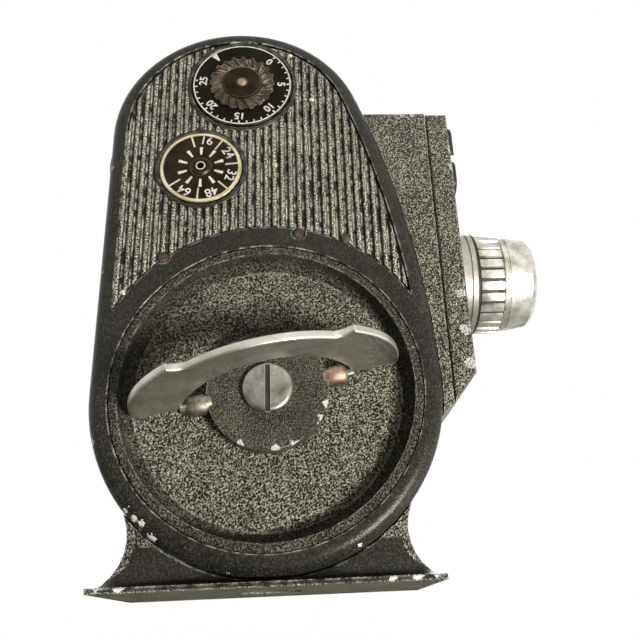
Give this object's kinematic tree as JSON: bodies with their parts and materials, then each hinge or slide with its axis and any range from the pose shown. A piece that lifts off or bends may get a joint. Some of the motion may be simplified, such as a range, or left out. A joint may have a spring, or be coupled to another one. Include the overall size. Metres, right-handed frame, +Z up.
{
  "type": "cine camera",
  "caption": "Palm-size spring-wound cine camera: ribbed cover, folding winding key in a round dish, two dials, finder block, small lens, flared foot, lift-off film door and spools inside.",
  "frame": {"origin": "middle of the bounding box, on the underside of the foot", "axes": "+X out of the lens, +Y from the winding side to the film door, +Z up from the foot"},
  "size_m": [0.1028, 0.0672, 0.1301],
  "materials": {
    "crackle": "black crackle enamel on a light alloy casting, worn to bare metal at the edges",
    "enamel": "smooth black enamel, satin",
    "nickel": "nickel plate, polished and scratched",
    "aluminium": "turned, satin",
    "steel": "machined",
    "brass": "turned, dulled",
    "copper": "worn copper-coloured screw heads",
    "glass": "polished"
  },
  "bodies": {
    "camera_body": {"main_casting": "crackle", "side_cover": "crackle", "front_plate": "crackle", "key_dish": "crackle", "cover_screw_1": "copper", "cover_screw_2": "copper", "cover_screw_3": "copper", "tripod_bush": "steel", "mechanism_plate": "brass", "finder_tube": "enamel", "finder_bezel": "enamel", "finder_glass": "glass", "finder_eyepiece": "glass", "lens_mount": "aluminium", "lens_barrel": "aluminium", "front_glass": "glass", "rear_glass": "glass", "iris_plate": "steel", "film_gate": "steel", "feed_spindle": "steel"},
    "winding_key": {"winding_hub": "enamel", "hub_screw": "nickel", "winding_arbor": "steel", "ratchet_wheel": "steel", "handle_pin_left": "steel", "handle_pin_right": "steel"},
    "handle": {"key_handle": "nickel"},
    "ratchet_click": {"click": "steel"},
    "footage_counter": {"footage_dial": "enamel", "footage_knob": "brass"},
    "speed_control": {"speed_dial": "brass"},
    "aperture_control": {"aperture_ring": "aluminium"},
    "release": {"release_button": "nickel"},
    "door": {"film_door": "crackle"},
    "latch": {"door_latch": "nickel"},
    "barrel": {"spring_barrel": "brass", "mainspring": "steel"},
    "intermediate": {"intermediate_wheel": "brass"},
    "crown": {"crown_wheel": "brass"},
    "speed_governor": {"governor": "brass"},
    "shutter": {"shutter_shaft": "steel", "shutter_disc": "enamel"},
    "claw": {"pulldown_claw": "steel"},
    "pressure": {"pressure_plate": "steel"},
    "feed": {"feed_spool": "enamel"},
    "takeup": {"takeup_spool": "enamel", "takeup_spindle": "steel"}
  },
  "joints": [
    {"name": "key_wind", "type": "hinge", "parent": "camera_body", "child": "winding_key", "pos_m": [-0.01365, 0.00859, 0.0375], "axis": [0, 1, 0], "continuous": true},
    {"name": "handle_fold", "type": "hinge", "parent": "winding_key", "child": "handle", "pos_m": [-0.01365, -0.00881, 0.0375], "axis": [0.982, 0, 0.1891], "range_deg": [-86, 91]},
    {"name": "click_lift", "type": "hinge", "parent": "camera_body", "child": "ratchet_click", "pos_m": [0.00135, 0.00399, 0.0425], "axis": [0, 1, 0], "range_deg": [0, 10], "stiffness_Nm_per_rad": 0.02},
    {"name": "footage_turn", "type": "hinge", "parent": "camera_body", "child": "footage_counter", "pos_m": [-0.01945, -0.01141, 0.1133], "axis": [0, 1, 0], "continuous": true},
    {"name": "speed_turn", "type": "hinge", "parent": "camera_body", "child": "speed_control", "pos_m": [-0.02865, -0.01141, 0.0899], "axis": [0, -1, 0], "range_deg": [0, 200]},
    {"name": "aperture_turn", "type": "hinge", "parent": "camera_body", "child": "aperture_control", "pos_m": [0.03635, 0.01609, 0.0714], "axis": [1, 0, 0], "range_deg": [0, 120]},
    {"name": "release_press", "type": "slide", "parent": "camera_body", "child": "release", "axis": [-1, 0, 0], "range_m": [0, 0.002], "stiffness_N_per_m": 400},
    {"name": "door_lift_off", "type": "slide", "parent": "camera_body", "child": "door", "axis": [0, 1, 0], "range_m": [0, 0.05]},
    {"name": "latch_turn", "type": "hinge", "parent": "door", "child": "latch", "pos_m": [-0.02065, 0.03009, 0.068], "axis": [0, 1, 0], "range_deg": [0, 90]},
    {"name": "barrel_spin", "type": "hinge", "parent": "camera_body", "child": "barrel", "pos_m": [-0.01365, 0.00137, 0.0375], "axis": [0, 1, 0], "continuous": true},
    {"name": "intermediate_spin", "type": "hinge", "parent": "camera_body", "child": "intermediate", "pos_m": [-0.01388, 0.00139, 0.0741], "axis": [0, 1, 0], "continuous": true},
    {"name": "crown_spin", "type": "hinge", "parent": "camera_body", "child": "crown", "pos_m": [0.00235, 0.00419, 0.073], "axis": [0, 1, 0], "continuous": true},
    {"name": "governor_spin", "type": "hinge", "parent": "camera_body", "child": "speed_governor", "pos_m": [-0.03008, 0.00139, 0.07552], "axis": [0, 1, 0], "continuous": true},
    {"name": "shutter_spin", "type": "hinge", "parent": "camera_body", "child": "shutter", "pos_m": [0.02225, 0.00729, 0.073], "axis": [1, 0, 0], "continuous": true},
    {"name": "claw_pull", "type": "slide", "parent": "camera_body", "child": "claw", "axis": [0, 0, -1], "range_m": [0, 0.00381]},
    {"name": "pressure_plate_slide", "type": "slide", "parent": "camera_body", "child": "pressure", "axis": [-1, 0, 0], "range_m": [0, 0.001], "stiffness_N_per_m": 300},
    {"name": "feed_spin", "type": "hinge", "parent": "camera_body", "child": "feed", "pos_m": [-0.01995, 0.01129, 0.0985], "axis": [0, 1, 0], "continuous": true},
    {"name": "takeup_spin", "type": "hinge", "parent": "camera_body", "child": "takeup", "pos_m": [-0.02125, 0.01129, 0.0375], "axis": [0, 1, 0], "continuous": true}
  ],
  "couplings": [
    {"joint": "intermediate_spin", "follows": "barrel_spin", "ratio": -2},
    {"joint": "crown_spin", "follows": "barrel_spin", "ratio": 6},
    {"joint": "governor_spin", "follows": "barrel_spin", "ratio": 6},
    {"joint": "shutter_spin", "follows": "barrel_spin", "ratio": 24}
  ]
}
